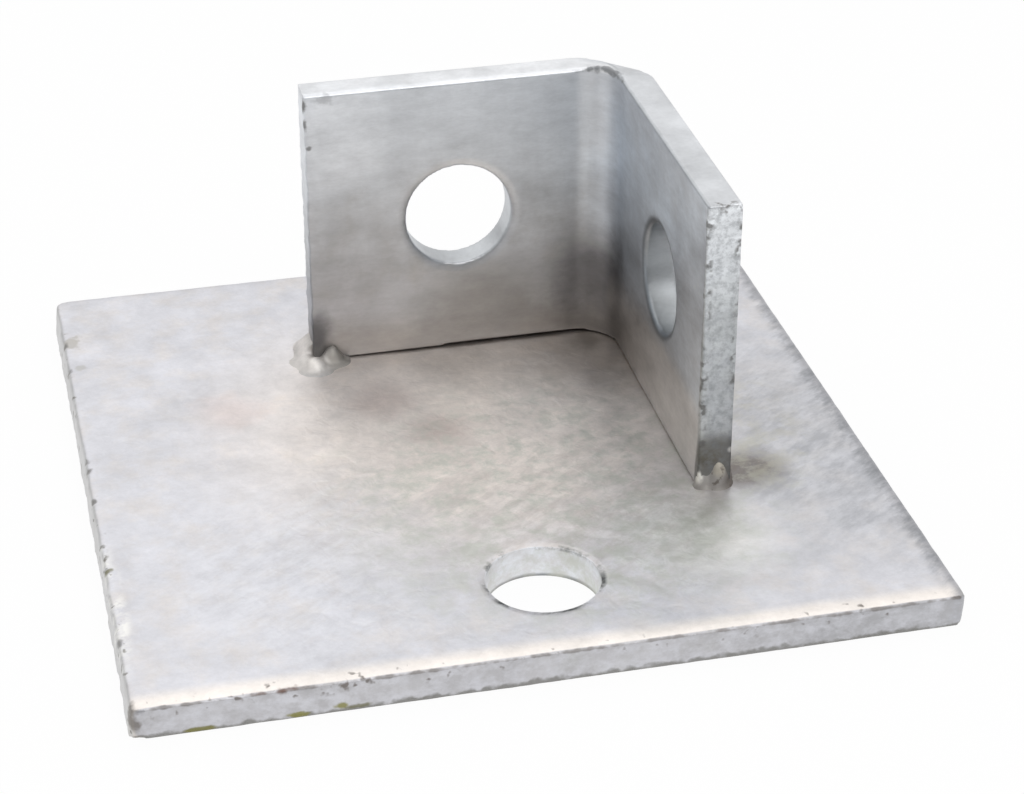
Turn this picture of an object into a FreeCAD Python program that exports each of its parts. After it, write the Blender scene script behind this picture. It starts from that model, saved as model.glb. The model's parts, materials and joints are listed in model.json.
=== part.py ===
import FreeCAD, Part
import math
import os
from FreeCAD import Vector

# Channel base plate: a square of sheared plate with a strip of flat steel standing on edge on it.
# The strip is bent cold to a corner, takes the foot of a strut channel inside it, and is welded on
# along its outside. All pieces are zinc coated together, so the sizes are over the coating.
# Millimetres, origin under the middle of the plate, +X along the front edge, +Y to the back, +Z up.

# Plate
PLATE_SIDE = 100.0
PLATE_THICK = 4.4
PLATE_CORNER_R = 1.6
FRONT_RIGHT_CORNER_R = 0.5   # that corner was left nearly square
SHEAR_SLANT = 0.3        # lean of the sheared left and right faces over the thickness
EDGE_ROLL_WIDTH = 3.0    # the shear draws the front edge down over this width
EDGE_ROLL_DROP = 0.2

# Anchor hole in the plate
ANCHOR_HOLE_D = 14.0
ANCHOR_HOLE_X = 1.6
ANCHOR_HOLE_FROM_FRONT = 15.0

# Strip, with its inside corner placed on the plate
STRIP_THICK = 4.4
STRIP_WIDTH = 39.4
INSIDE_CORNER_X = 25.4
INSIDE_CORNER_Y = 24.0
BACK_LEG = 41.9          # from the inside corner to the free end
SIDE_LEG = 43.85
STRIP_ROLL_WIDTH = 1.2   # rolled-over inner top edge
STRIP_ROLL_DROP = 0.4
STRIP_EDGE_R = 0.3

# Cold bend: the metal swells out of the inner edge and is drawn in at the outer edge
BEND_INNER_R = 5.0
INNER_SWELL = 0.9
OUTER_DRAW = 0.7
BEND_STEPS = 8
BACK_SEAT_GAP = 0.45     # the swollen edge holds the legs this far off the plate beside the bend
SIDE_SEAT_GAP = 0.12

# Channel bolt holes in the two legs
BOLT_HOLE_D = 14.5
BOLT_HOLE_ABOVE_PLATE = 19.9
BACK_HOLE_FROM_CORNER = 21.15
SIDE_HOLE_FROM_CORNER = 24.1

# Every punched hole has a rolled rim on the side that the punch came in from
RIM_ROLL_WIDTH = 1.1
RIM_ROLL_DROP = 0.2

# Weld
WELD_LEG = 4.6           # fillet along the outside of the strip
WELD_CROWN = 0.4         # how far the bead's face bulges
WELD_ROOT = 1.2          # how far it runs in under the strip
WELD_LEFT_LEG = 2.4      # it thins out towards the free ends and is returned round them
WELD_LEFT_RUN_OUT = 5.0
WELD_FRONT_LEG = 1.2
WELD_FRONT_RUN_OUT = 18.0

# Lumps that end the weld, each as (x, y) from the inner corner of the leg's free end, radius and height
BACK_END_LUMPS = [((-0.6, -0.4), 2.1, 1.3), ((0.0, -3.2), 1.5, 1.5), ((3.0, -0.3), 1.7, 2.6)]
SIDE_END_LUMPS = [((-0.1, -0.9), 0.7, 0.8), ((2.2, -0.75), 1.3, 1.5)]

# Sizes that follow from these
HALF = PLATE_SIDE / 2
BEND_X = INSIDE_CORNER_X - BEND_INNER_R
BEND_Y = INSIDE_CORNER_Y - BEND_INNER_R
BACK_END_X = INSIDE_CORNER_X - BACK_LEG
SIDE_END_Y = INSIDE_CORNER_Y - SIDE_LEG
OUTER_X = INSIDE_CORNER_X + STRIP_THICK
OUTER_Y = INSIDE_CORNER_Y + STRIP_THICK
MARGIN = 5.0             # how far a cutting shape reaches past what it cuts

UP = Vector(0, 0, 1)
QUARTER = math.pi / 2


def line(a, b):
    return Part.LineSegment(a, b).toShape()


def arc(a, middle, b):
    return Part.Arc(a, middle, b).toShape()


def closed_face(points):
    return Part.Face(Part.makePolygon(points + points[:1]))


def rolled_edge(width, drop):
    """Half way along the arc that leaves a surface at `width` from an edge and ends `drop` below it there:
    its distance from the edge and its depth."""
    radius = (width ** 2 + drop ** 2) / (2 * drop)
    half_turn = math.asin(width / radius) / 2
    return width - radius * math.sin(half_turn), radius * (1 - math.cos(half_turn))


def punched_hole(centre, inward, diameter, thickness):
    """What a punch takes out: a round hole whose rim is rolled over where the punch came in."""
    radius = diameter / 2
    middle, depth = rolled_edge(RIM_ROLL_WIDTH, RIM_ROLL_DROP)
    rim_in = Vector(radius, 0, RIM_ROLL_DROP)
    rim_middle = Vector(radius + middle, 0, depth)
    rim_out = Vector(radius + RIM_ROLL_WIDTH, 0, 0)
    far = Vector(radius, 0, thickness + MARGIN)
    near = Vector(radius + RIM_ROLL_WIDTH, 0, -MARGIN)
    far_axis = Vector(0, 0, far.z)
    near_axis = Vector(0, 0, near.z)
    edges = [
        arc(rim_in, rim_middle, rim_out),
        line(rim_out, near),
        line(near, near_axis),
        line(near_axis, far_axis),
        line(far_axis, far),
        line(far, rim_in),
    ]
    tool = Part.Face(Part.Wire(edges)).revolve(Vector(0, 0, 0), UP, 360)
    tool.Placement = FreeCAD.Placement(centre, FreeCAD.Rotation(UP, inward))
    return tool


def base_plate():
    """Sheared square: front edge rolled over, left and right faces leaning one way, corners blunted."""
    middle, depth = rolled_edge(EDGE_ROLL_WIDTH, EDGE_ROLL_DROP)
    reach = PLATE_SIDE + 2 * MARGIN
    front_foot = Vector(-reach / 2, -HALF, 0)
    front_edge = Vector(-reach / 2, -HALF, PLATE_THICK - EDGE_ROLL_DROP)
    roll_middle = Vector(-reach / 2, -HALF + middle, PLATE_THICK - depth)
    roll_end = Vector(-reach / 2, -HALF + EDGE_ROLL_WIDTH, PLATE_THICK)
    back_edge = Vector(-reach / 2, HALF, PLATE_THICK)
    back_foot = Vector(-reach / 2, HALF, 0)
    edges = [
        line(front_foot, front_edge),
        arc(front_edge, roll_middle, roll_end),
        line(roll_end, back_edge),
        line(back_edge, back_foot),
        line(back_foot, front_foot),
    ]
    rolled = Part.Face(Part.Wire(edges)).extrude(Vector(reach, 0, 0))

    sheared = closed_face([
        Vector(-HALF, -HALF - MARGIN, 0),
        Vector(HALF - SHEAR_SLANT, -HALF - MARGIN, 0),
        Vector(HALF, -HALF - MARGIN, PLATE_THICK),
        Vector(-HALF + SHEAR_SLANT, -HALF - MARGIN, PLATE_THICK),
    ]).extrude(Vector(0, PLATE_SIDE + 2 * MARGIN, 0))
    plate = rolled.common(sheared)

    for radius, is_front_right in ((PLATE_CORNER_R, False), (FRONT_RIGHT_CORNER_R, True)):
        corners = [edge for edge in plate.Edges if edge.BoundBox.ZLength > PLATE_THICK / 2
                   and (edge.CenterOfMass.x > 0 > edge.CenterOfMass.y) == is_front_right]
        plate = plate.makeFillet(radius, corners)

    hole_at = Vector(ANCHOR_HOLE_X, -HALF + ANCHOR_HOLE_FROM_FRONT, PLATE_THICK)
    return plate.cut(punched_hole(hole_at, -UP, ANCHOR_HOLE_D, PLATE_THICK))


def strip_section(angle):
    """The strip's section at one angle of the bend, 0 at the side leg and a quarter turn at the back leg.
    It is the plain strip at both ends of the bend, and is most swollen and drawn in half way round."""
    swell = math.sin(2 * angle) ** 2
    gap = SIDE_SEAT_GAP + (BACK_SEAT_GAP - SIDE_SEAT_GAP) * angle / QUARTER
    direction = Vector(math.cos(angle), math.sin(angle), 0)
    axis = Vector(BEND_X, BEND_Y, 0)
    foot = PLATE_THICK + gap
    top_in = foot + STRIP_WIDTH + swell * INNER_SWELL
    top_out = foot + STRIP_WIDTH - swell * OUTER_DRAW
    fall = (top_in - top_out) / STRIP_THICK
    middle, depth = rolled_edge(STRIP_ROLL_WIDTH, STRIP_ROLL_DROP)
    corner = STRIP_EDGE_R * (1 - math.sqrt(0.5))

    def at(from_inside, z):
        return axis + direction * (BEND_INNER_R + from_inside) + UP * z

    inner_foot = at(0, foot - swell * gap)
    outer_foot = at(STRIP_THICK, foot + swell * OUTER_DRAW)
    outer_side = at(STRIP_THICK, top_out - STRIP_EDGE_R)
    outer_middle = at(STRIP_THICK - corner, top_out - corner)
    outer_top = at(STRIP_THICK - STRIP_EDGE_R, top_out + fall * STRIP_EDGE_R)
    roll_top = at(STRIP_ROLL_WIDTH, top_in - fall * STRIP_ROLL_WIDTH)
    roll_middle = at(middle, top_in - fall * middle - depth)
    inner_side = at(0, top_in - STRIP_ROLL_DROP)
    return Part.Wire([
        line(inner_foot, outer_foot),
        line(outer_foot, outer_side),
        arc(outer_side, outer_middle, outer_top),
        line(outer_top, roll_top),
        arc(roll_top, roll_middle, inner_side),
        line(inner_side, inner_foot),
    ])


def corner_upright():
    """The bent strip: two flat legs, punched, and between them a bend whose section swells and draws in.
    Each leg slopes down from the bend until its free end sits on the plate."""
    bend = Part.makeLoft([strip_section(QUARTER * i / BEND_STEPS) for i in range(BEND_STEPS + 1)], True)
    side_run = Vector(0, SIDE_END_Y - BEND_Y, -SIDE_SEAT_GAP)
    back_run = Vector(BACK_END_X - BEND_X, 0, -BACK_SEAT_GAP)
    side_leg = Part.Face(strip_section(0)).extrude(side_run)
    back_leg = Part.Face(strip_section(QUARTER)).extrude(back_run)
    strip = bend.fuse([side_leg, back_leg]).removeSplitter()

    hole_z = PLATE_THICK + BOLT_HOLE_ABOVE_PLATE
    back_hole = Vector(INSIDE_CORNER_X - BACK_HOLE_FROM_CORNER, INSIDE_CORNER_Y, hole_z)
    side_hole = Vector(INSIDE_CORNER_X, INSIDE_CORNER_Y - SIDE_HOLE_FROM_CORNER, hole_z)
    strip = strip.cut(punched_hole(back_hole, Vector(0, 1, 0), BOLT_HOLE_D, STRIP_THICK))
    return strip.cut(punched_hole(side_hole, Vector(1, 0, 0), BOLT_HOLE_D, STRIP_THICK))


def bead_wire(corner, outward, leg, root):
    """Section of a fillet weld with its heel at `corner`: its bulging face may run on into the strip,
    so that the weld has a root there."""
    face_r = (leg ** 2 / 2 + WELD_CROWN ** 2) / (2 * WELD_CROWN)
    half_turn = math.asin(leg * math.sqrt(0.5) / face_r)
    centre = corner + (outward + UP) * (leg / 2 - (face_r - WELD_CROWN) * math.sqrt(0.5))

    def on_face(turn):
        angle = QUARTER / 2 + turn
        return centre + (outward * math.cos(angle) + UP * math.sin(angle)) * face_r

    toe = on_face(-half_turn)
    top = on_face(half_turn + root * math.sqrt(2) / face_r)
    heel = Vector(top.x, top.y, corner.z)
    return Part.Wire([arc(toe, on_face(0), top), line(top, heel), line(heel, toe)])


def bead_run(start, outward, along, first_leg, last_leg, root=WELD_ROOT):
    """A straight length of fillet, its leg changing evenly from one end to the other."""
    ends = [bead_wire(start, outward, first_leg, root), bead_wire(start + along, outward, last_leg, root)]
    return Part.makeLoft(ends, True, True)


def bead_turn(corner, outward, leg):
    """The fillet taken a quarter turn round an upright edge of the strip, anticlockwise from above."""
    return Part.Face(bead_wire(corner, outward, leg, 0)).revolve(corner, UP, 90)


def weld_lump(x, y, radius, height):
    """A spot of weld metal set on the plate: the cap of a ball, cut level with the plate's top."""
    ball_r = (radius ** 2 + height ** 2) / (2 * height)
    ball = Part.makeSphere(ball_r, Vector(x, y, PLATE_THICK + height - ball_r))
    reach = 2 * ball_r + MARGIN
    above = Part.makeBox(2 * reach, 2 * reach, reach, Vector(x - reach, y - reach, PLATE_THICK))
    return ball.common(above)


def weld_bead(strip):
    """Fillet along the outside of the strip, returned round both free ends into the lumps that end it.
    Only at the bend does it run in under the strip, which stands clear of the plate there."""
    right = Vector(1, 0, 0)
    back = Vector(0, 1, 0)
    front_corner = Vector(OUTER_X, SIDE_END_Y, PLATE_THICK)
    left_corner = Vector(BACK_END_X, OUTER_Y, PLATE_THICK)
    front_run_out = back * WELD_FRONT_RUN_OUT
    left_run_out = right * WELD_LEFT_RUN_OUT
    side_length = BEND_Y - SIDE_END_Y - WELD_FRONT_RUN_OUT
    back_length = BEND_X - BACK_END_X - WELD_LEFT_RUN_OUT
    bend_start = bead_wire(Vector(OUTER_X, BEND_Y, PLATE_THICK), right, WELD_LEG, WELD_ROOT)
    pieces = [
        bead_run(front_corner, right, front_run_out, WELD_FRONT_LEG, WELD_LEG),
        bead_run(front_corner + front_run_out, right, back * side_length, WELD_LEG, WELD_LEG),
        Part.Face(bend_start).revolve(Vector(BEND_X, BEND_Y, 0), UP, 90),
        bead_run(left_corner + left_run_out, back, right * back_length, WELD_LEG, WELD_LEG),
        bead_run(left_corner, back, left_run_out, WELD_LEFT_LEG, WELD_LEG),
        bead_turn(front_corner, -back, WELD_FRONT_LEG),
        bead_turn(left_corner, back, WELD_LEFT_LEG),
        bead_run(front_corner, -back, right * -STRIP_THICK, WELD_FRONT_LEG, WELD_FRONT_LEG),
        bead_run(left_corner, -right, back * -STRIP_THICK, WELD_LEFT_LEG, WELD_LEFT_LEG),
    ]
    for (x, y), radius, height in BACK_END_LUMPS:
        pieces.append(weld_lump(BACK_END_X + x, INSIDE_CORNER_Y + y, radius, height))
    for (x, y), radius, height in SIDE_END_LUMPS:
        pieces.append(weld_lump(INSIDE_CORNER_X + x, SIDE_END_Y + y, radius, height))
    weld = pieces[0]
    for piece in pieces[1:]:
        weld = weld.fuse(piece)
    side_foot = Part.makeBox(STRIP_THICK, BEND_Y - SIDE_END_Y, MARGIN,
                             Vector(INSIDE_CORNER_X, SIDE_END_Y, PLATE_THICK))
    back_foot = Part.makeBox(BEND_X - BACK_END_X, STRIP_THICK, MARGIN,
                             Vector(BACK_END_X, INSIDE_CORNER_Y, PLATE_THICK))
    return weld.cut([strip, side_foot, back_foot]).removeSplitter()


os.makedirs("parts", exist_ok=True)
upright = corner_upright()
base_plate().exportStep("parts/base_plate.step")
upright.exportStep("parts/corner_upright.step")
weld_bead(upright).exportStep("parts/weld_bead.step")
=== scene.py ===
import bmesh
import bpy
import json
import math
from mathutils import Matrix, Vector


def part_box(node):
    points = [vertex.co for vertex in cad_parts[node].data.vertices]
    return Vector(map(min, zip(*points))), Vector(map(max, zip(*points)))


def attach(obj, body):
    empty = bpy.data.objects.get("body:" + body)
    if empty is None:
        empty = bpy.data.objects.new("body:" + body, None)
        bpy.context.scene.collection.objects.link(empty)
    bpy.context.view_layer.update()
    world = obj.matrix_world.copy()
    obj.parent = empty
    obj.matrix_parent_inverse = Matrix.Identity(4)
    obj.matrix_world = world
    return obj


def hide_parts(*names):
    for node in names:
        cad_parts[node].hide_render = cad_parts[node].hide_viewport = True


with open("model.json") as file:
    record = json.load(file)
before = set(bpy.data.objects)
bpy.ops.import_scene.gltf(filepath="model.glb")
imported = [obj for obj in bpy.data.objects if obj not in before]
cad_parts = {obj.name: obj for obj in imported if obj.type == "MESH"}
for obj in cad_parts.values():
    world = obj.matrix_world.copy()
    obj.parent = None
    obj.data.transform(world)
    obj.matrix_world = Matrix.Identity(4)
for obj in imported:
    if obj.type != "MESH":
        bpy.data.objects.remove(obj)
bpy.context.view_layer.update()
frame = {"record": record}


# Base plate: a square sheared from 4 mm steel plate, with one hole punched for the floor anchor.
# The shear drew its front edge down and left its left edge torn and nicked. It was dipped in molten
# zinc after welding, which rounds every edge and sets to a crumpled, mottled skin.

MM = 0.001
PLATE_CORNER_R = 1.6
FRONT_RIGHT_CORNER_R = 0.5
CORNER_STEPS = 6
SHEAR_SLANT = 0.3
SLANT_MARGIN = 0.5
SAME_PLACE = 0.01
EDGE_ROLL_WIDTH = 3.0
EDGE_ROLL_DROP = 0.2
EDGE_ROLL_STEPS = 3
RIM_ROLL_WIDTH = 1.1
RIM_ROLL_DROP = 0.2
HOLE_SIDES = 128
PUNCH_LENGTH = 12.0
PLATE_MESH = 0.5
EDGE_DENT_SPACING = 2.6
EDGE_DENT_REACH = 1.5
NICK_DEPTH = 0.35
NICK_REACH = 1.1
NICK_PLACES = (36.4, 29.1, 4.8, 2.3, -5.1, -36.8)
ZINC_DRIP_HEIGHT = 0.3
ZINC_DRIP_PLACES = (-25.5, -29.9, -35.0)
SKIN_HOLLOW_SPACING = 9.0
SKIN_HOLLOW_DEPTH = 0.1
SHARP_EDGE_ANGLE = math.radians(40)

plate_low, plate_high = (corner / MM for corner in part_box("base_plate"))


def choose(kind, test):
    """Selects, in edit mode, each vertex, edge or face whose corners in millimetres all pass the test."""
    piece = bpy.context.object
    bpy.ops.object.mode_set(mode="EDIT")
    bpy.ops.mesh.select_mode(type=kind)
    bpy.ops.mesh.select_all(action="DESELECT")
    mesh = bmesh.from_edit_mesh(piece.data)
    for part in {"VERT": mesh.verts, "EDGE": mesh.edges, "FACE": mesh.faces}[kind]:
        corners = [part] if kind == "VERT" else part.verts
        part.select_set(all(test(corner.co / MM) for corner in corners))
    bmesh.update_edit_mesh(piece.data)


def apply_modifier(piece, kind, **settings):
    """Adds a modifier with these settings to the piece and applies it."""
    bpy.ops.object.mode_set(mode="OBJECT")
    bpy.ops.object.select_all(action="DESELECT")
    piece.select_set(True)
    bpy.context.view_layer.objects.active = piece
    modifier = piece.modifiers.new(kind.lower(), kind)
    for name, value in settings.items():
        setattr(modifier, name, value)
    bpy.ops.object.modifier_apply(modifier=modifier.name)


def punch(piece, mount, entry):
    """Punches a mount's hole through the piece. `entry` is the face the punch came in by, as a direction
    and its distance from the origin in millimetres, and the rim is rolled over there."""
    direction, distance = entry
    found = next(row for row in frame["record"]["mounts"] if row["name"] == mount)
    radius = found["dims"]["r_mm"]
    bpy.ops.object.mode_set(mode="OBJECT")
    bpy.ops.object.select_all(action="DESELECT")
    bpy.ops.mesh.primitive_cylinder_add(vertices=HOLE_SIDES, radius=radius * MM, depth=PUNCH_LENGTH * MM,
                                        location=(0, 0, -(PUNCH_LENGTH / 2 + RIM_ROLL_DROP) * MM))
    cutter = bpy.context.object
    bpy.ops.object.transform_apply(location=True, rotation=True, scale=True)
    choose("FACE", lambda at: at.z > -PUNCH_LENGTH / 2)
    for rise, widening in ((RIM_ROLL_DROP, (radius + RIM_ROLL_WIDTH) / radius), (PUNCH_LENGTH, 1.0)):
        bpy.ops.mesh.extrude_region_move(TRANSFORM_OT_translate={"value": (0, 0, rise * MM)})
        bpy.ops.transform.resize(value=(widening, widening, 1), center_override=(0, 0, 0))
    bpy.ops.object.mode_set(mode="OBJECT")
    centre = Vector(found["pos_m"]) / MM
    centre += direction * (distance - centre.dot(direction))
    cutter.rotation_euler = direction.to_track_quat("Z", "Y").to_euler()
    cutter.location = centre * MM
    apply_modifier(piece, "BOOLEAN", operation="DIFFERENCE", object=cutter, solver="EXACT")
    bpy.data.objects.remove(cutter)


def weigh(piece, name, weight):
    """A vertex group whose weights come from each vertex's place in millimetres."""
    group = piece.vertex_groups.new(name=name)
    for vertex in piece.data.vertices:
        group.add([vertex.index], max(0.0, min(1.0, weight(vertex.co / MM))), "REPLACE")
    return group.name


def dent(piece, name, spacing, depth, contrast=1.0, direction="NORMAL", group=""):
    """Presses hollows up to `depth` deep into the skin, `spacing` apart. More contrast makes them fewer
    and sharper, and a vertex group keeps them to a part of the piece. They go along the axis given, or
    inwards. Sizes in millimetres."""
    hollows = bpy.data.textures.new(name, "CLOUDS")
    hollows.noise_scale = spacing * MM
    hollows.noise_depth = 2
    hollows.contrast = contrast
    hollows.use_clamp = True
    strength = -depth if direction == "NORMAL" else depth
    apply_modifier(piece, "DISPLACE", texture=hollows, texture_coords="LOCAL", mid_level=0.0,
                   direction=direction, strength=strength * MM, vertex_group=group)


bpy.ops.object.select_all(action="DESELECT")
bpy.ops.mesh.primitive_cube_add(size=1, location=(plate_low + plate_high) * MM / 2,
                                scale=(plate_high - plate_low) * MM)
plate = bpy.context.object
plate.name = "galvanised_base_plate"
bpy.ops.object.transform_apply(location=True, rotation=True, scale=True)

choose("VERT", lambda at: at.x < 0 and at.z > plate_high.z / 2)
bpy.ops.transform.translate(value=(SHEAR_SLANT * MM, 0, 0))
choose("VERT", lambda at: at.x > 0 and at.z < plate_high.z / 2)
bpy.ops.transform.translate(value=(-SHEAR_SLANT * MM, 0, 0))

for step in range(1, EDGE_ROLL_STEPS + 1):
    bpy.ops.mesh.select_all(action="SELECT")
    cut_y = plate_low.y + EDGE_ROLL_WIDTH * step / EDGE_ROLL_STEPS
    bpy.ops.mesh.bisect(plane_co=(0, cut_y * MM, 0), plane_no=(0, 1, 0))
for step in range(EDGE_ROLL_STEPS):
    row_y = plate_low.y + EDGE_ROLL_WIDTH * step / EDGE_ROLL_STEPS
    fall = EDGE_ROLL_DROP * (1 - step / EDGE_ROLL_STEPS) ** 2
    choose("VERT", lambda at: at.z > plate_high.z / 2 and abs(at.y - row_y) < SAME_PLACE)
    bpy.ops.transform.translate(value=(0, 0, -fall * MM))

for side_x in (plate_low.x, plate_high.x):
    for side_y in (plate_low.y, plate_high.y):
        choose("EDGE", lambda at: abs(at.x - side_x) < SLANT_MARGIN and abs(at.y - side_y) < SAME_PLACE)
        radius = FRONT_RIGHT_CORNER_R if side_x > 0 > side_y else PLATE_CORNER_R
        bpy.ops.mesh.bevel(offset=radius * MM, segments=CORNER_STEPS, affect="EDGES")

apply_modifier(plate, "REMESH", mode="VOXEL", voxel_size=PLATE_MESH * MM)
apply_modifier(plate, "SMOOTH", factor=0.5, iterations=4)

# The torn edges, each with the axis that its dents follow, the place of its face, and the depth and
# contrast of its dents
sheared_edges = [
    ("left_edge", "X", plate_low.x, 0.24, 1.8),
    ("right_edge", "X", plate_high.x, -0.12, 1.4),
    ("front_edge", "Y", plate_low.y, 0.12, 1.4),
    ("back_edge", "Y", plate_high.y, -0.14, 1.4),
]
for name, axis, face, depth, contrast in sheared_edges:
    group = weigh(plate, name, lambda at: 1 - abs(at["XY".index(axis)] - face) / EDGE_DENT_REACH)
    dent(plate, name, EDGE_DENT_SPACING, depth, contrast, axis, group)
# Single nicks in the left edge, and drips of zinc that hang on it
left_edge_marks = [("nicks", NICK_PLACES, NICK_DEPTH), ("zinc_drips", ZINC_DRIP_PLACES, -ZINC_DRIP_HEIGHT)]
for name, places, depth in left_edge_marks:
    spots = [Vector((plate_low.x + SHEAR_SLANT, along, plate_high.z)) for along in places]
    group = weigh(plate, name, lambda at: max(1 - (at - spot).length / NICK_REACH for spot in spots))
    apply_modifier(plate, "DISPLACE", direction="X", mid_level=0.0, strength=depth * MM, vertex_group=group)
top_face = weigh(plate, "top_face", lambda at: 1 - (plate_high.z - at.z) / EDGE_DENT_REACH)
dent(plate, "uneven_skin", SKIN_HOLLOW_SPACING, -SKIN_HOLLOW_DEPTH, direction="Z", group=top_face)
punch(plate, "anchor_hole", (Vector((0, 0, 1)), plate_high.z))
bpy.ops.object.shade_smooth_by_angle(angle=SHARP_EDGE_ANGLE)


def to_linear(colour):
    """An sRGB hex colour as linear red, green, blue and alpha."""
    levels = [int(colour[start:start + 2], 16) / 255 for start in (1, 3, 5)]
    linear = [level / 12.92 if level <= 0.04045 else ((level + 0.055) / 1.055) ** 2.4 for level in levels]
    return linear + [1.0]


def add_node(owner, kind, inputs=(), **settings):
    """Adds a node to a material or world with its settings, and gives each named or numbered input
    a value or a link from another node's output."""
    node = owner.node_tree.nodes.new(kind)
    for name, value in settings.items():
        setattr(node, name, value)
    for socket, value in dict(inputs).items():
        if isinstance(value, bpy.types.NodeSocket):
            owner.node_tree.links.new(value, node.inputs[socket])
        else:
            node.inputs[socket].default_value = value
    return node


# The colour sockets of a Mix node share their names with its others, so they go by number
MIX_FACTOR, MIX_FIRST, MIX_SECOND, MIX_RESULT = 0, 6, 7, 2
RAGGED_SIZE = 5.0
NOISE_MIDDLE = 0.5
SPECKLE_GAIN = 3.0


def marked(material, colour, ground, marks, pattern=1.0):
    """The colour with marks on it, and how much of it they cover. `ground` is the place and a noise about
    zero that makes their outlines ragged, and the pattern breaks them up. A mark has a centre, how much
    each axis counts in the distance from it, a radius, the width of its soft rim, a colour and a
    strength. Sizes in millimetres."""
    place, ragged = ground
    cover = 0.0
    for centre, axes, radius, rim, tint, strength in marks:
        middle = [along * share * MM for along, share in zip(centre, axes)]
        weighted = add_node(material, "ShaderNodeVectorMath", {0: place, 1: axes}, operation="MULTIPLY")
        apart = add_node(material, "ShaderNodeVectorMath", {0: weighted.outputs["Vector"], 1: middle},
                         operation="DISTANCE")
        outline = add_node(material, "ShaderNodeMath", {0: ragged, 1: rim * MM, 2: apart.outputs["Value"]},
                           operation="MULTIPLY_ADD")
        inside = add_node(material, "ShaderNodeMapRange", {
            "Value": outline.outputs["Value"], "From Min": radius * MM, "From Max": (radius - rim) * MM,
            "To Min": 0.0, "To Max": strength,
        }, interpolation_type="SMOOTHSTEP")
        share = add_node(material, "ShaderNodeMath", {0: inside.outputs["Result"], 1: pattern},
                         operation="MULTIPLY").outputs["Value"]
        colour = add_node(material, "ShaderNodeMix", {
            MIX_FACTOR: share, MIX_FIRST: colour, MIX_SECOND: to_linear(tint),
        }, data_type="RGBA").outputs[MIX_RESULT]
        cover = add_node(material, "ShaderNodeMath", {0: share, 1: cover},
                         operation="MAXIMUM").outputs["Value"]
    return colour, cover


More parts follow.
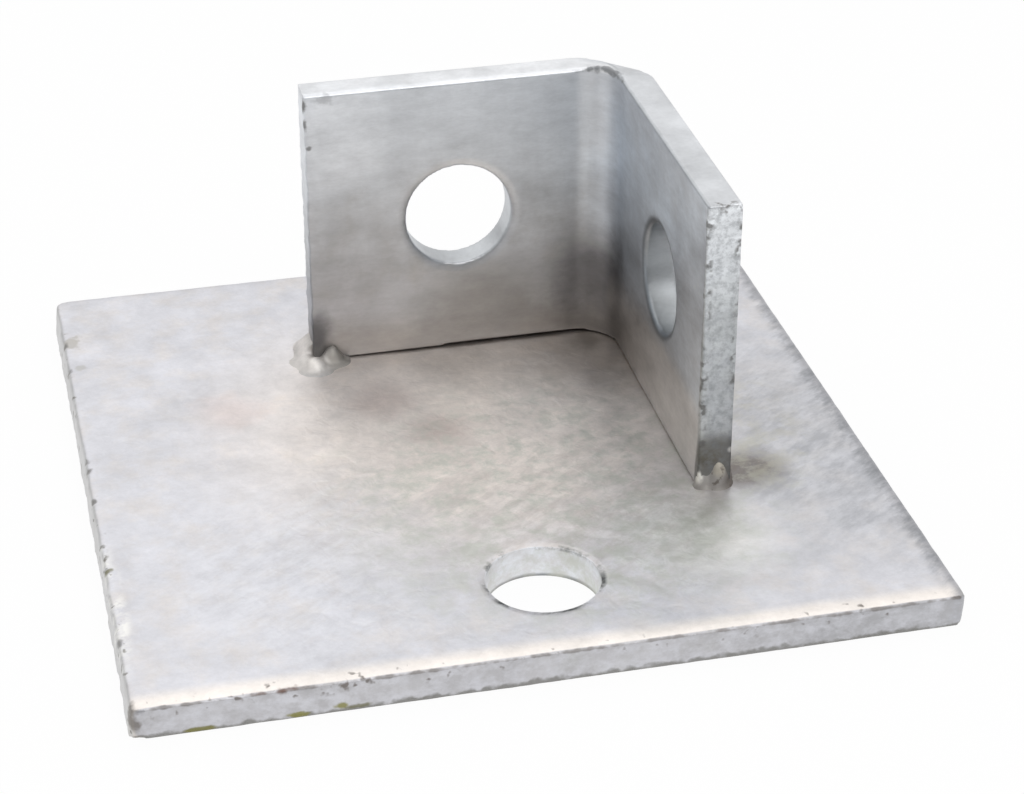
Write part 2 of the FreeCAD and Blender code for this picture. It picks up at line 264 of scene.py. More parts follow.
def galvanised(name, look):
    """Hot-dip zinc: a bright but matt metal, blotched at every scale as it froze, with low crumpled ridges.
    Tints are thin films that leave it a metal, and some of them are painted light and shade; streaks are
    broken up along the way the zinc ran off, blotches are broken up evenly, pits are small irregular dark
    spots, and the last marks are grime, rust and painted shade. Pits and these last marks hardly shine. A
    look has two colours of zinc, the contrast of the mottling, the sizes of grain, streaks, blotches, pits
    and ridges, the scale of the grain along each axis, the turn of the streaks in degrees, the levels of
    noise at a pit's rim and floor, the height of the ridges, the least and the most roughness, and the
    marks. Sizes in millimetres."""
    material = bpy.data.materials.new(name)
    material.use_nodes = True
    shader = material.node_tree.nodes["Principled BSDF"]
    place = add_node(material, "ShaderNodeTexCoord").outputs["Object"]

    # Blotches from several millimetres down to fine grains, and larger ones of a warmer colour
    drawn_out = add_node(material, "ShaderNodeVectorMath", {0: place, 1: look["grain_axes"]},
                         operation="MULTIPLY")
    grain = add_node(material, "ShaderNodeTexNoise", {
        "Vector": drawn_out.outputs["Vector"], "Scale": 1 / (look["grain"] * MM), "Detail": 5.0,
        "Roughness": 0.8})
    mottle = add_node(material, "ShaderNodeMapRange", {
        "Value": grain.outputs[0], "From Min": 0.3, "From Max": 0.7}).outputs["Result"]
    uneven = add_node(material, "ShaderNodeTexNoise", {
        "Vector": place, "Scale": 1 / (RAGGED_SIZE * MM), "Detail": 5.0, "Roughness": 0.6})
    blushing = add_node(material, "ShaderNodeMapRange", {
        "Value": uneven.outputs[0], "From Min": 0.45, "From Max": 0.7, "To Max": 0.7})
    colour = add_node(material, "ShaderNodeMix", {
        MIX_FACTOR: blushing.outputs["Result"], MIX_FIRST: to_linear(look["zinc"]),
        MIX_SECOND: to_linear(look["blush"])}, data_type="RGBA").outputs[MIX_RESULT]

    # Tints, some of them painted light and shade, then streaks, blotches, pits, and grime, rust and painted
    # shade
    ragged = add_node(material, "ShaderNodeMath", {0: uneven.outputs[0], 1: NOISE_MIDDLE},
                      operation="SUBTRACT").outputs["Value"]
    run_off = add_node(material, "ShaderNodeMapping", {
        "Vector": place, "Rotation": (0, 0, math.radians(look["streak_turn"])),
        "Scale": [size * MM for size in look["streak_sizes"]]}, vector_type="TEXTURE")
    bands = add_node(material, "ShaderNodeTexNoise", {
        "Vector": run_off.outputs["Vector"], "Scale": 1.0, "Detail": 4.0, "Roughness": 0.7})
    streak = add_node(material, "ShaderNodeMapRange", {
        "Value": bands.outputs[0], "From Min": 0.40, "From Max": 0.66}).outputs["Result"]
    patches = add_node(material, "ShaderNodeTexNoise", {
        "Vector": place, "Scale": 1 / (look["blotch"] * MM), "Detail": 4.0, "Roughness": 0.7})
    blotch = add_node(material, "ShaderNodeMapRange", {
        "Value": patches.outputs[0], "From Min": 0.44, "From Max": 0.64}).outputs["Result"]
    pit_size, pit_rim, pit_floor = look["pit"]
    hollows = add_node(material, "ShaderNodeTexNoise", {
        "Vector": place, "Scale": 1 / (pit_size * MM), "Detail": 2.0})
    pit = add_node(material, "ShaderNodeMapRange", {
        "Value": hollows.outputs[0], "From Min": pit_rim, "From Max": pit_floor}).outputs["Result"]
    ground = (place, ragged)
    colour, _ = marked(material, colour, ground, look["tints"])
    shade = add_node(material, "ShaderNodeMapRange", {
        "Value": mottle, "To Min": 1 - look["contrast"] / 2, "To Max": 1 + look["contrast"] / 2})
    colour = add_node(material, "ShaderNodeVectorMath", {0: colour, "Scale": shade.outputs["Result"]},
                      operation="SCALE").outputs["Vector"]
    colour, _ = marked(material, colour, ground, look["streaks"], streak)
    colour, _ = marked(material, colour, ground, look["blotches"], blotch)
    colour, pitted = marked(material, colour, ground, look["pits"], pit)
    speckled = add_node(material, "ShaderNodeMath", {
        0: hollows.outputs[0], 1: SPECKLE_GAIN, 2: -SPECKLE_GAIN * NOISE_MIDDLE,
    }, operation="MULTIPLY_ADD").outputs["Value"]
    colour, stained_and_shaded = marked(material, colour, (place, speckled), look["stains_and_shade"])
    dirt_and_shade = add_node(material, "ShaderNodeMath", {0: pitted, 1: stained_and_shaded}, operation="MAXIMUM")

    # The low crumpled ridges of the frozen zinc
    ridges = add_node(material, "ShaderNodeTexNoise", {
        "Vector": place, "Scale": 1 / (look["ridge"] * MM), "Detail": 2.5, "Roughness": 0.5,
        "Distortion": 0.6})
    bump = add_node(material, "ShaderNodeBump", {
        "Height": ridges.outputs[0], "Strength": 1.0, "Distance": look["relief"] * MM})
    rough = add_node(material, "ShaderNodeMapRange", {
        "Value": mottle, "To Min": look["rough"][0], "To Max": look["rough"][1]})
    metal = add_node(material, "ShaderNodeMapRange", {
        "Value": dirt_and_shade.outputs["Value"], "To Min": 1.0, "To Max": 0.2})
    links = material.node_tree.links
    links.new(colour, shader.inputs["Base Color"])
    links.new(rough.outputs["Result"], shader.inputs["Roughness"])
    links.new(metal.outputs["Result"], shader.inputs["Metallic"])
    links.new(bump.outputs["Normal"], shader.inputs["Normal"])
    return material


# Bluish white with a warm film where the welding heated it, cream along the rolled front edge, plain grey
# where the shear and the punch left broken faces under the coat, and painted shade in the corner inside the
# upright and at the front left corner
plate_look = {
    "zinc": "#DDDDE2", "blush": "#E0DBD8", "contrast": 0.25, "grain": 7.0, "grain_axes": (1, 1, 1),
    "streak_sizes": (4.5, 1.8, 1.8), "streak_turn": 35, "blotch": 3.2, "pit": (1.5, 0.64, 0.72),
    "ridge": 2.6, "relief": 0.07, "rough": (0.42, 0.50),
    "tints": [
        # The warm film in the middle, paler right of the hole, with brownish spots
        ((2, 3, 4.4), (1, 1, 0), 42, 28, "#F9EFE6", 0.85),
        ((22, -30, 4.4), (1, 1, 0), 14, 12, "#F5F5EF", 0.7),
        ((-29.5, 12.8, 4.4), (1, 1, 0), 7, 6, "#DDD0CC", 0.6),
        ((-9.5, 11.3, 4.4), (1, 1, 0), 7, 6, "#D2C3BC", 0.6),
        ((-3.3, 1.8, 4.4), (1, 1, 0), 6, 5, "#D2C3BC", 0.6),
        # The corner inside the upright, browned by heat and darkened with painted shade, painted shade at
        # the foot of its bend, and a line of painted shade under its back leg
        ((21, 18, 4.4), (1, 1, 0), 15, 14, "#DED2C7", 0.75),
        ((21.5, 21.5, 4.4), (1, 1, 0), 4, 3.5, "#8F877F", 0.6),
        ((7, 23.9, 4.4), (0.035, 1, 0), 0.9, 0.8, "#857A75", 0.6),
        # The greyer right side, and the smear beside the weld's front end
        ((44, -10, 4.4), (0.6, 0.35, 0), 14, 10, "#C9CACE", 0.55),
        ((32.5, -16.5, 4.4), (0.7, 0.8, 0), 5.5, 4, "#756C65", 0.85),
        # The rolled front edge, the right edge, and the sheared faces at the front and left
        ((0, -50, 4.4), (0, 1, 0), 3.4, 2.2, "#F8F1EA", 0.85),
        ((50, 0, 4.4), (1, 0, 0), 2.2, 1.4, "#B8B8BC", 0.7),
        ((0, -50, 2), (0, 1, 0), 0.5, 0.25, "#BBBBBF", 0.9),
        ((42, -50, 2), (0.02, 1, 0), 0.5, 0.3, "#B6B6B9", 0.9),
        ((-50, 0, 2), (1, 0, 0), 0.9, 0.4, "#CFCFCE", 0.8),
        # The wall of the hole, and its darker lower rim
        ((1.6, -35, 2), (1, 1, 0), 7.15, 0.1, "#EAECF0", 1.0),
        ((1.6, -35, -8), (1, 1, 1), 11.1, 0.4, "#7E8284", 0.9),
    ],
    "streaks": [
        ((-24, -26, 4.4), (1, 1, 0), 28, 20, "#F2F3F8", 0.45),
        ((5, -22, 4.4), (1, 1, 0), 30, 20, "#BDB4AC", 0.40),
        ((46, -12, 4.4), (0.6, 0.35, 0), 14, 10, "#9C9EA3", 0.48),
        ((49.5, 0, 4.4), (1, 0, 0), 2.6, 1.4, "#8F9195", 0.6),
        ((0, -50, 2), (0, 1, 0), 0.5, 0.25, "#E4E5EC", 0.5),
    ],
    "blotches": [
        ((8, -18, 4.4), (1, 1, 0), 36, 20, "#CACDC2", 0.6),
        ((36, -6, 4.4), (1, 0.6, 0), 12, 8, "#C9C4B0", 0.3),
        ((1.6, -35, 12.4), (1, 1, 1), 11.2, 0.3, "#4E5052", 0.9),
        ((-49.2, -30, 4.4), (0.8, 0.1, 0.5), 1.6, 0.8, "#FBFAF6", 0.8),
    ],
    "pits": [
        ((0, -50, 4.2), (0, 1, 1), 2.0, 1.0, "#6B625B", 0.8),
        ((-50, 0, 4.4), (1, 0, 0), 1.6, 1.0, "#77746C", 0.8),
        ((-49.8, -30, 4.4), (1, 0.12, 0.6), 1.8, 0.9, "#6B675C", 0.9),
    ],
    "stains_and_shade": [
        # Dirt along the front face's edges and at its corners; the front left corner is worn and darkened
        # with painted shade
        ((0, -50, 4.15), (0, 1, 1), 0.4, 0.25, "#77706B", 0.7),
        ((0, -50, 0), (0, 1, 1), 0.8, 0.6, "#77756E", 0.7),
        ((46, -50, 4.25), (0.06, 1, 1), 0.4, 0.3, "#5F5751", 0.7),
        ((50, -50, 2), (1, 1, 0.1), 0.5, 0.4, "#4E4A46", 0.8),
        ((-49.7, -50, 3.4), (1, 0.7, 0.3), 1.4, 1.0, "#77706A", 0.8),
        # Rust on the front edge
        ((-33, -50, 4.25), (0.15, 1, 1), 0.6, 0.5, "#6E5044", 0.85),
        # Moss at the foot of the front face
        ((-41.8, -50, 0.4), (0.17, 1, 1), 0.45, 0.3, "#85813F", 0.85),
        ((-31, -50, 0.5), (0.3, 1, 1), 0.5, 0.3, "#8E8A3C", 0.85),
        ((-25.8, -50, 0.9), (0.5, 1, 1), 0.55, 0.3, "#8E8A3C", 0.85),
        ((-23.5, -50, 0.6), (0.2, 1, 1), 0.4, 0.3, "#77744E", 0.7),
        # Dirt on the left edge and in its nicks
        ((-48.3, 36.8, 4.4), (0.8, 0.7, 1), 1.4, 0.8, "#B0ACA2", 0.6),
        ((-47.9, 29.4, 4.4), (1, 0.8, 1), 0.9, 0.6, "#B6B4AD", 0.5),
        ((-49.4, -21.5, 4.4), (1, 1, 1), 1.0, 0.6, "#6F6C45", 0.85),
    ] + [((-49.6, along, 4.2), (1, 1, 1), 0.9, 0.5, "#6A6762", 0.75) for along in NICK_PLACES],
}
plate.data.materials.append(galvanised("hot_dip_galvanised_plate", plate_look))
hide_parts("base_plate")
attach(plate, "root")


# Corner upright: a strip of flat steel stood on edge, punched twice and bent cold to a right angle.
# The bend swells out of its inner edge and draws in at its outer edge, so the back leg stands a little
# clear of the plate there. Zinc coated with the rest, but smoother and greyer on its rolled faces.

STRIP_THICK = 4.4
STRIP_WIDTH = 39.4
STRIP_ROLL_WIDTH = 0.6
STRIP_ROLL_DROP = 0.25
BEND_INNER_R = 5.0
BEND_STEPS = 12
INNER_SWELL = 0.75
OUTER_DRAW = 0.7
BACK_SEAT_GAP = 0.2
SIDE_SEAT_GAP = 0.12
ROW_MARGIN = 0.05
STRIP_MESH = 0.3
END_DENT_SPACING = 1.6
END_DENT_DEPTH = 0.22
END_DENT_CONTRAST = 1.6
END_DENT_REACH = 0.9

strip_low, strip_high = (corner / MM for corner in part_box("corner_upright"))
inner_x = strip_high.x - STRIP_THICK
inner_y = strip_high.y - STRIP_THICK
bend_x = inner_x - BEND_INNER_R
bend_y = inner_y - BEND_INNER_R
strip_top = plate_high.z + STRIP_WIDTH

bpy.ops.object.select_all(action="DESELECT")
bpy.ops.mesh.primitive_plane_add(size=1, rotation=(math.pi / 2, 0, 0), location=(
    (inner_x + STRIP_THICK / 2) * MM, strip_low.y * MM, (plate_high.z + STRIP_WIDTH / 2) * MM))
upright = bpy.context.object
upright.name = "galvanised_corner_upright"
upright.scale = (STRIP_THICK * MM, STRIP_WIDTH * MM, 1)
bpy.ops.object.transform_apply(location=True, rotation=True, scale=True)

bpy.ops.object.mode_set(mode="EDIT")
roll_rows = [(0.0, STRIP_ROLL_DROP), (STRIP_ROLL_WIDTH / 2, STRIP_ROLL_DROP / 4), (STRIP_ROLL_WIDTH, 0.0)]
for from_inside, _ in roll_rows[1:]:
    bpy.ops.mesh.select_all(action="SELECT")
    bpy.ops.mesh.bisect(plane_co=((inner_x + from_inside) * MM, 0, 0), plane_no=(1, 0, 0))

side_run = (0, (bend_y - strip_low.y) * MM, SIDE_SEAT_GAP * MM)
back_run = ((strip_low.x - bend_x) * MM, 0, -BACK_SEAT_GAP * MM)
bpy.ops.mesh.select_all(action="SELECT")
bpy.ops.mesh.select_mode(type="FACE")
bpy.ops.mesh.extrude_region_move(TRANSFORM_OT_translate={"value": side_run})
bpy.ops.mesh.spin(steps=BEND_STEPS, angle=math.pi / 2, center=(bend_x * MM, bend_y * MM, 0), axis=(0, 0, -1))

# Row by row through the bend: the swelling and drawing in, the seat gap, and the roll of the back leg
for step in range(1, BEND_STEPS + 1):
    turn = math.pi / 2 * step / BEND_STEPS
    swell = math.sin(2 * turn) ** 2
    climb = (BACK_SEAT_GAP - SIDE_SEAT_GAP) * step / BEND_STEPS
    gap = SIDE_SEAT_GAP + climb
    ring = Vector((math.cos(turn), math.sin(turn), 0))
    rolled = max(0.0, 2 * step / BEND_STEPS - 1)
    for from_inside, fall in roll_rows + [(STRIP_THICK, 0.0)]:
        outer = from_inside / STRIP_THICK
        spot = Vector((bend_x, bend_y, 0)) + ring * (BEND_INNER_R + from_inside)
        lift = climb + swell * (INNER_SWELL * (1 - outer) - OUTER_DRAW * outer) - rolled * fall
        choose("VERT", lambda at: (at.xy - spot.xy).length < ROW_MARGIN and at.z > strip_top / 2)
        bpy.ops.transform.translate(value=(0, 0, lift * MM))
        rise = climb + swell * (OUTER_DRAW * outer - gap * (1 - outer))
        choose("VERT", lambda at: (at.xy - spot.xy).length < ROW_MARGIN and at.z < strip_top / 2)
        bpy.ops.transform.translate(value=(0, 0, rise * MM))
choose("FACE", lambda at: abs(at.x - bend_x) < SAME_PLACE)
bpy.ops.mesh.extrude_region_move(TRANSFORM_OT_translate={"value": back_run})

punch(upright, "back_leg_hole", (Vector((0, -1, 0)), -inner_y))
punch(upright, "side_leg_hole", (Vector((-1, 0, 0)), -inner_x))
apply_modifier(upright, "REMESH", mode="VOXEL", voxel_size=STRIP_MESH * MM)
apply_modifier(upright, "SMOOTH", factor=0.5, iterations=4)
for name, axis, face in (("back_leg_end", "X", strip_low.x), ("side_leg_end", "Y", strip_low.y)):
    group = weigh(upright, name, lambda at: 1 - abs(at["XY".index(axis)] - face) / END_DENT_REACH)
    dent(upright, name, END_DENT_SPACING, END_DENT_DEPTH, END_DENT_CONTRAST, axis, group)
bpy.ops.object.shade_smooth()

# Smooth bluish grey, with painted light that lightens it to the top and the side leg's foot and a painted
# highlight in the bend; browned by heat and darkened with painted shade at the foot, sooty where the weld
# ends, with painted shade that dulls the highlights on the inner top edge of the bend and the side leg and
# round the side leg's hole; the sheared end of the side leg is pitted with dark scale
strip_look = {
    "zinc": "#B8BABE", "blush": "#B4B3B2", "contrast": 0.34, "grain": 5.0, "grain_axes": (0.4, 0.4, 1),
    "streak_sizes": (5.0, 5.0, 24.0), "streak_turn": 0, "blotch": 1.1, "pit": (1.2, 0.54, 0.68),
    "ridge": 3.2, "relief": 0.035, "rough": (0.38, 0.46),
    "tints": [
        # Painted light that makes it lighter to the top, bluish on the side leg, and a painted highlight as
        # a bright band in the bend
        ((0, 0, 44), (0, 0, 1), 32, 24, "#D7DADE", 1.0),
        ((25.4, 0, 26), (2.5, 0, 0.7), 14, 10, "#DEE6EE", 0.75),
        ((25.4, 14, 24), (1, 0.6, 0.6), 7, 6, "#A6ACB4", 0.4),
        ((-13, 24, 38), (0.8, 0, 0.8), 8, 6, "#F0F2F5", 0.38),
        ((23.1, 22.2, 36), (1, 1, 0.4), 2.5, 2, "#F2F4F6", 0.35),
        ((17, 24, 26), (0.8, 1, 0.5), 6, 5, "#DADDE1", 0.35),
        # The foot, browned by heat and darkened with painted shade that is darkest in the bend; painted
        # light on the side leg's foot, and paler towards its front edge
        ((0, 0, 4.4), (0, 0, 1), 7, 5, "#9C9792", 0.7),
        ((22.5, 21.5, 13), (1, 1, 0.8), 9, 7, "#737274", 0.9),
        ((25.4, -8, 10), (4, 0.2, 1), 8, 4, "#D4D1CE", 0.85),
        ((7, 24, 10), (0.7, 1, 1), 9, 7, "#969492", 0.85),
        ((-12, 24, 20), (0.6, 1, 0.6), 7, 5, "#A2A2A3", 0.25),
        ((25.4, -20, 30), (2, 0.5, 0.4), 8, 6, "#EEF3F8", 0.8),
        # The end face, with painted light that makes it lighter to the top, dark at the foot, and the soot
        # beside both ends of the weld
        ((27.6, -19.85, 16), (0, 5, 0.2), 5, 2, "#C0C3C4", 0.85),
        ((27.6, -19.85, 44), (0, 4, 0.3), 5, 4, "#F0F3F6", 0.9),
        ((-15.8, 24, 8), (1, 1, 0.5), 2.7, 2.4, "#616163", 0.9),
        ((27.6, -19.85, 4.4), (0.5, 4, 0.8), 7.0, 2.4, "#6C6A65", 0.9),
        ((27.0, -19.85, 8.6), (0.7, 1, 1), 1.6, 1.0, "#5B5443", 0.5),
        # A painted highlight where a small lump of the weld shines
        ((25.5, -19.85, 6.2), (1, 1, 0.5), 0.5, 0.3, "#F4F2EC", 0.95),
        ((29.6, -19.85, 9.5), (1, 1, 1), 0.6, 0.4, "#E4E1DA", 0.9),
        # The walls of the holes, and painted shade on the rolled rim of the side leg's, which dulls its
        # highlight
        ((4.25, 26, 24.3), (1, 0, 1), 7.5, 0.2, "#CED1D4", 0.9),
        ((27.6, -0.1, 24.3), (0, 1, 1), 8.5, 0.8, "#858B91", 0.75),
        ((27.6, -0.1, 24.3), (0, 1, 1), 7.4, 0.2, "#B2B5B7", 0.9),
        # The top edge, with painted shade along the side leg's inner top edge, which dulls its highlight
        ((0, 0, 44.4), (0, 0, 1), 0.9, 0.5, "#F1F2F4", 0.9),
        ((27.6, 0, 44.4), (0.4, 0, 1), 1.2, 0.4, "#D9DBDE", 0.9),
        ((25.4, 0, 43.9), (1, 0, 1), 0.5, 0.3, "#B5B9BD", 0.7),
    ],
    "streaks": [
        ((0, 0, 22), (0, 0, 1), 21.4, 0.6, "#8E9196", 0.1),
    ],
    "blotches": [
        ((27.6, -19.85, 24), (0, 1, 0), 0.8, 0.4, "#84878A", 0.5),
    ],
    "pits": [
        ((25.4, -19.85, 24), (1, 1, 0), 1.1, 0.6, "#5C5A57", 0.8),
        ((29.8, -19.85, 24), (1, 1, 0), 1.1, 0.6, "#5C5A57", 0.8),
        ((27.6, -19.85, 44), (0.4, 1, 1), 1.6, 0.8, "#4F4740", 0.95),
    ],
    "stains_and_shade": [
        # Dirt on the swelling of the bend, with painted shade that dulls its highlight, and at the back
        # leg's top corner
        ((20.4, 19, 49.5), (1, 1, 1), 7.8, 0.5, "#7E8083", 0.85),
        ((-13.6, 24, 43), (0.5, 1, 1), 0.9, 0.7, "#77777A", 0.35),
        ((-16.5, 24.2, 42.3), (1, 1, 0.5), 0.7, 0.5, "#5A5855", 0.8),
        ((-16.4, 24, 39.6), (1, 1, 0.35), 0.5, 0.4, "#5A5855", 0.7),
        ((-15.9, 24, 36.2), (1, 1, 1), 0.45, 0.3, "#5A5855", 0.7),
    ],
}
upright.data.materials.append(galvanised("hot_dip_galvanised_strip", strip_look))
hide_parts("corner_upright")
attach(upright, "root")


# Weld bead: one run of fillet weld along the outside of the upright, laid in overlapping ripples.
# It thins out towards both free ends, is returned round them and stops there in small lumps. The zinc
# took to it unevenly, so it is duller than the plate and has dark scale left in its hollows.

WELD_LEG = 4.6
WELD_LEFT_LEG = 2.4
WELD_LEFT_RUN_OUT = 5.0
WELD_FRONT_LEG = 0.7
WELD_FRONT_RUN_OUT = 18.0
WELD_SINK = 0.6
RIPPLE_SPACING = 1.5
RIPPLE_HALF_SIZES = (1.25, 3.2, 1.25)
RIPPLE_DEPTH = 0.4
LEAST_RIPPLED_LEG = 1.8
LAST_RIPPLE_TO_END = 1.8
BEAD_SLOPE = math.radians(45)
WELD_MESH = 0.2
WELD_HOLLOW_SPACING = 2.0
WELD_HOLLOW_DEPTH = 0.25
# Each lump has its place from the strip's inner corner at that end, its radius and its height. A skirt
# has its share of both.
BACK_END_LUMPS = [((-0.8, 0.2), 1.8, 1.0), ((0.1, -1.8), 2.0, 1.5), ((2.6, -0.4), 1.8, 2.3)]
SIDE_END_LUMPS = [((0.6, 0.55), 1.1, 2.8), ((2.8, 0.75), 1.9, 4.0)]
BACK_LUMP_SKIRT = (1.5, 0.3)
SIDE_LUMP_SKIRT = (1.1, 0.3)
LUMP_WAIST = 1.34
LUMP_REACH = 6.0

bpy.ops.object.select_all(action="DESELECT")
full_leg, left_leg, front_leg = (leg + WELD_SINK for leg in (WELD_LEG, WELD_LEFT_LEG, WELD_FRONT_LEG))
front_heel = Vector((strip_high.x - WELD_SINK, strip_low.y + WELD_SINK, plate_high.z))
bead_middle = front_heel + Vector((front_leg / 2, 0, front_leg / 2))
bpy.ops.mesh.primitive_plane_add(size=1, rotation=(math.pi / 2, 0, 0), location=bead_middle * MM)
weld = bpy.context.object
weld.name = "galvanised_weld_bead"
weld.scale = (front_leg * MM, front_leg * MM, 1)
bpy.ops.object.transform_apply(location=True, rotation=True, scale=True)
bpy.ops.object.mode_set(mode="EDIT")
bpy.ops.mesh.select_all(action="SELECT")
bpy.ops.mesh.bisect(plane_co=bead_middle * MM, plane_no=(1, 0, 1), clear_outer=True)
bpy.ops.mesh.select_all(action="SELECT")
bpy.ops.mesh.select_mode(type="FACE")


def run_weld(along, heel, growth):
    """Extrudes the weld's end by a run and scales it about its heel there. Sizes in millimetres."""
    bpy.ops.mesh.extrude_region_move(TRANSFORM_OT_translate={"value": Vector(along) * MM})
    bpy.ops.transform.resize(value=(growth, growth, growth), center_override=Vector(heel) * MM)


full_heel = front_heel + Vector((0, WELD_FRONT_RUN_OUT, 0))
bend_heel = Vector((front_heel.x, bend_y, plate_high.z))
left_heel = Vector((strip_low.x + WELD_SINK, strip_high.y - WELD_SINK, plate_high.z))
back_heel = left_heel + Vector((WELD_LEFT_RUN_OUT, 0, 0))
return_length = STRIP_THICK - 2 * WELD_SINK
run_weld((0, WELD_FRONT_RUN_OUT, 0), full_heel, full_leg / front_leg)
run_weld(bend_heel - full_heel, bend_heel, 1.0)
bpy.ops.mesh.spin(steps=BEND_STEPS, angle=math.pi / 2, center=(bend_x * MM, bend_y * MM, 0), axis=(0, 0, -1))
run_weld((back_heel.x - bend_x, 0, 0), back_heel, 1.0)
run_weld((-WELD_LEFT_RUN_OUT, 0, 0), left_heel, left_leg / full_leg)
bpy.ops.mesh.spin(steps=BEND_STEPS, angle=math.pi / 2, center=left_heel * MM, axis=(0, 0, -1))
run_weld((0, -return_length, 0), left_heel, 1.0)
choose("FACE", lambda at: abs(at.y - front_heel.y) < SAME_PLACE)
bpy.ops.mesh.spin(steps=BEND_STEPS, angle=math.pi / 2, center=front_heel * MM, axis=(0, 0, 1))
run_weld((-return_length, 0, 0), front_heel, 1.0)
bpy.ops.object.mode_set(mode="OBJECT")

# A ripple is a long ball that lies across the bead's slope, smaller where the bead thins out
weld_pieces = [weld]
side_length = bend_y - strip_low.y
back_length = bend_x - strip_low.x
bend_radius = BEND_INNER_R + STRIP_THICK
bend_length = bend_radius * math.pi / 2
weld_length = side_length + bend_length + back_length
ripple_count = int(weld_length / RIPPLE_SPACING)
for number in range(ripple_count + 1):
    travel = weld_length * number / ripple_count
    turn = max(0.0, min(1.0, (travel - side_length) / bend_length)) * math.pi / 2
    outward = Vector((math.cos(turn), math.sin(turn), 0))
    heel = Vector((bend_x, bend_y, plate_high.z)) + outward * bend_radius
    heel.y -= max(0.0, side_length - travel)
    heel.x -= max(0.0, travel - side_length - bend_length)
    front_share = min(1.0, travel / WELD_FRONT_RUN_OUT)
    left_share = min(1.0, (weld_length - travel) / WELD_LEFT_RUN_OUT)
    leg = min(WELD_FRONT_LEG + (WELD_LEG - WELD_FRONT_LEG) * front_share,
              WELD_LEFT_LEG + (WELD_LEG - WELD_LEFT_LEG) * left_share)
    if leg < LEAST_RIPPLED_LEG or weld_length - travel < LAST_RIPPLE_TO_END:
        continue
    size = leg / WELD_LEG
    bpy.ops.object.select_all(action="DESELECT")
    bpy.ops.mesh.primitive_uv_sphere_add(segments=20, ring_count=12, radius=MM)
    ripple = bpy.context.object
    along, across, high = RIPPLE_HALF_SIZES
    ripple.scale = (along * math.sqrt(size), across * size, high * size)
    ripple.rotation_euler = (BEAD_SLOPE, 0, turn + math.pi / 2)
    ripple.location = (heel + (outward + Vector((0, 0, 1))) * leg * RIPPLE_DEPTH) * MM
    weld_pieces.append(ripple)

# Each lump is the top sixth of a ball drawn upright, so that it rises out of the plate at a slant. The
# waist is how much wider the ball is than the lump.
end_corners = [Vector((strip_low.x, inner_y, plate_high.z)), Vector((inner_x, strip_low.y, plate_high.z))]
lumpy_ends = [(BACK_END_LUMPS, BACK_LUMP_SKIRT), (SIDE_END_LUMPS, SIDE_LUMP_SKIRT)]
for corner, (lumps, skirt) in zip(end_corners, lumpy_ends):
    for (x, y), radius, height in lumps:
        for spread, share in ((1.0, 1.0), skirt):
            bpy.ops.object.select_all(action="DESELECT")
            bpy.ops.mesh.primitive_uv_sphere_add(segments=32, ring_count=20, radius=MM)
            lump = bpy.context.object
            cap_radius = radius * spread * LUMP_WAIST
            cap_height = height * share
            lump.scale = (cap_radius, cap_radius, 3 * cap_height)
            lump.location = (corner + Vector((x, y, -2 * cap_height))) * MM
            weld_pieces.append(lump)

bpy.ops.object.select_all(action="DESELECT")
for piece in weld_pieces:
    piece.select_set(True)
bpy.context.view_layer.objects.active = weld
bpy.ops.object.join()
bpy.ops.object.transform_apply(location=True, rotation=True, scale=True)
apply_modifier(weld, "REMESH", mode="VOXEL", voxel_size=WELD_MESH * MM)
apply_modifier(weld, "SMOOTH", factor=0.5, iterations=5)
lumpy = weigh(weld, "lumps", lambda at: 2 - 2 * min((at - end).length for end in end_corners) / LUMP_REACH)
apply_modifier(weld, "SMOOTH", factor=0.5, iterations=20, vertex_group=lumpy)
dent(weld, "weld_skin", WELD_HOLLOW_SPACING, WELD_HOLLOW_DEPTH)
bpy.ops.object.mode_set(mode="EDIT")
bpy.ops.mesh.select_all(action="SELECT")
bpy.ops.mesh.bisect(plane_co=(0, 0, (plate_high.z - WELD_SINK) * MM), plane_no=(0, 0, 1),
                    use_fill=True, clear_inner=True)
bpy.ops.object.mode_set(mode="OBJECT")
bpy.ops.object.shade_smooth()

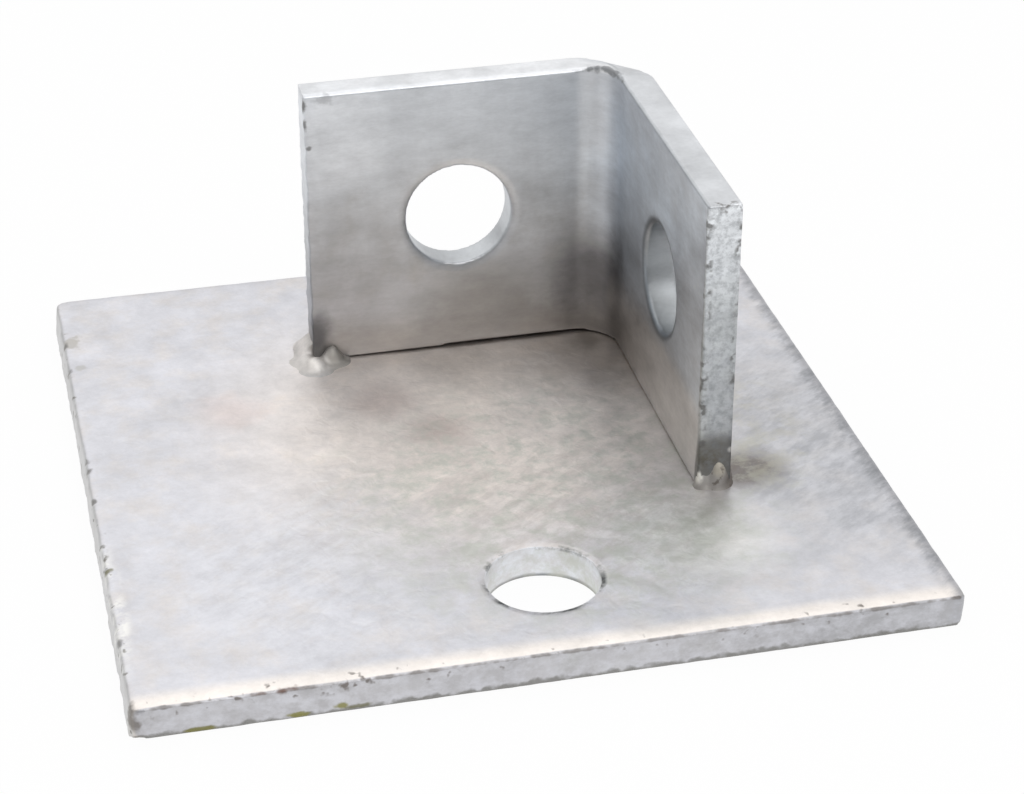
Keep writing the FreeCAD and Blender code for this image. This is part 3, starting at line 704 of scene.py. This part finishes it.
# Dull grey on the bead with spots of dark scale, near the plate's white on the left lumps with a painted
# highlight on one, and tan with brown scale and a painted highlight at the front end
weld_look = {
    "zinc": "#C0C0C2", "blush": "#BBB8B4", "contrast": 0.3, "grain": 3.0, "grain_axes": (1, 1, 1),
    "streak_sizes": (2.0, 2.0, 2.0), "streak_turn": 0, "blotch": 1.5, "pit": (1.0, 0.56, 0.66),
    "ridge": 1.2, "relief": 0.05, "rough": (0.55, 0.68),
    "tints": [
        # The left end, with one greyer lump and a painted highlight on the white mound
        ((-15.5, 25, 4.4), (1, 1, 1), 7.0, 3.0, "#CFCBC7", 0.9),
        ((-18.2, 26.5, 5.0), (1, 0.4, 1), 2.4, 1.5, "#E8E4E1", 0.9),
        ((-15.5, 25, 4.4), (0.15, 0.15, 1), 1.0, 0.7, "#D0CDCA", 0.9),
        ((-13.4, 22.6, 5.2), (1, 1, 1), 2.6, 1.4, "#A39F99", 0.8),
        ((-16.3, 21.8, 5.4), (1, 1, 1), 2.6, 2.0, "#F6F2EE", 0.9),
        # The front end, with a painted highlight as a white spot on its left, and soot on its right
        ((27.6, -20.5, 4.4), (1, 1, 1), 4.5, 2.0, "#B5B1AC", 0.8),
        ((27.6, -21, 4.4), (0.2, 0.2, 1), 1.0, 0.7, "#AFABA7", 0.85),
        ((28.3, -20.3, 7.6), (1, 1, 0.8), 1.6, 0.8, "#CBC5B8", 0.85),
        ((25.5, -20.3, 6.1), (1, 0.4, 0.6), 0.8, 0.5, "#F4F2EC", 0.95),
        ((30.5, -17, 5.0), (1, 0.5, 1), 3.5, 2.0, "#6E6660", 0.8),
    ],
    "streaks": [],
    "blotches": [],
    "pits": [
        ((29.8, 28.4, 4.4), (0.05, 0.05, 0), 2.0, 0.5, "#8A857E", 0.45),
        ((28.2, -20.4, 5.5), (0.7, 1, 0.7), 2.0, 1.0, "#5A5148", 0.8),
    ],
    "stains_and_shade": [],
}
weld.data.materials.append(galvanised("zinc_coated_weld", weld_look))
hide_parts("weld_bead")
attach(weld, "root")


# Studio: a pale paper floor that stays white to the eye and keeps a trace of the part's soft shadow,
# white surroundings that dim towards the front left, and two soft lamps above.

FLOOR_SIZE = 6000.0
FLOOR_WHITE = 0.95
BRIGHT_SIDE = (0.75, 0.50, 0.43)
CAMERA_PLACE = (-62.2, -289.7, 181.3)
CAMERA_FORWARD = (0.19825, 0.84264, -0.50065)
CAMERA_LENS = 92.5
CAMERA_SENSOR_WIDTH = 36.0
CAMERA_NEAR_LIMIT = 10.0

bpy.ops.object.select_all(action="DESELECT")
bpy.ops.mesh.primitive_plane_add(size=FLOOR_SIZE * MM)
floor = bpy.context.object
floor.name = "studio_floor"
floor_paper = bpy.data.materials.new("white_studio_paper")
floor_paper.use_nodes = True
floor_paper.node_tree.nodes.clear()
seen_by = add_node(floor_paper, "ShaderNodeLightPath")
mirrored = add_node(floor_paper, "ShaderNodeMath", {
    0: seen_by.outputs["Is Glossy Ray"], 1: seen_by.outputs["Is Transmission Ray"]}, operation="MAXIMUM")
shown = add_node(floor_paper, "ShaderNodeMath", {
    0: seen_by.outputs["Is Camera Ray"], 1: mirrored.outputs["Value"]}, operation="MAXIMUM")
glow = add_node(floor_paper, "ShaderNodeMath", {0: shown.outputs["Value"], 1: FLOOR_WHITE},
                operation="MULTIPLY")
matt = add_node(floor_paper, "ShaderNodeBsdfDiffuse", {"Color": to_linear("#F4F4F4")})
white = add_node(floor_paper, "ShaderNodeEmission", {"Strength": 1.0})
paper = add_node(floor_paper, "ShaderNodeMixShader", {
    0: glow.outputs["Value"], 1: matt.outputs["BSDF"], 2: white.outputs["Emission"]})
add_node(floor_paper, "ShaderNodeOutputMaterial", {"Surface": paper.outputs["Shader"]})
floor.data.materials.append(floor_paper)

studio = bpy.data.worlds.new("studio_surroundings")
studio.use_nodes = True
studio.node_tree.nodes.clear()
bpy.context.scene.world = studio
direction = add_node(studio, "ShaderNodeTexCoord").outputs["Generated"]
towards = add_node(studio, "ShaderNodeVectorMath", {0: direction, 1: BRIGHT_SIDE}, operation="DOT_PRODUCT")
around = add_node(studio, "ShaderNodeMapRange", {
    "Value": towards.outputs["Value"], "From Min": -0.55, "From Max": 0.6, "To Min": 0.35, "To Max": 1.0})
seen_by = add_node(studio, "ShaderNodeLightPath")
level = add_node(studio, "ShaderNodeMath", {
    0: seen_by.outputs["Is Camera Ray"], 1: around.outputs["Result"]}, operation="MAXIMUM")
sky = add_node(studio, "ShaderNodeBackground", {"Strength": level.outputs["Value"]})
add_node(studio, "ShaderNodeOutputWorld", {"Surface": sky.outputs["Background"]})

# Each lamp with its place, its width and its watts
lamps = [
    ("overhead_softbox", (-250, 150, 650), 1600, 3.5),
    ("front_softbox", (100, -450, 600), 350, 1.0),
]
for name, spot, size, watts in lamps:
    bpy.ops.object.light_add(type="AREA", location=Vector(spot) * MM)
    lamp = bpy.context.object
    lamp.name = name
    lamp.data.size = size * MM
    lamp.data.energy = watts
    lamp.rotation_euler = (-Vector(spot)).to_track_quat("-Z", "Y").to_euler()

bpy.ops.object.camera_add(location=Vector(CAMERA_PLACE) * MM)
camera = bpy.context.object
camera.rotation_euler = Vector(CAMERA_FORWARD).to_track_quat("-Z", "Y").to_euler()
camera.data.lens = CAMERA_LENS
camera.data.sensor_width = CAMERA_SENSOR_WIDTH
camera.data.clip_start = CAMERA_NEAR_LIMIT * MM
bpy.context.scene.camera = camera
bpy.context.scene.view_settings.view_transform = "Standard"
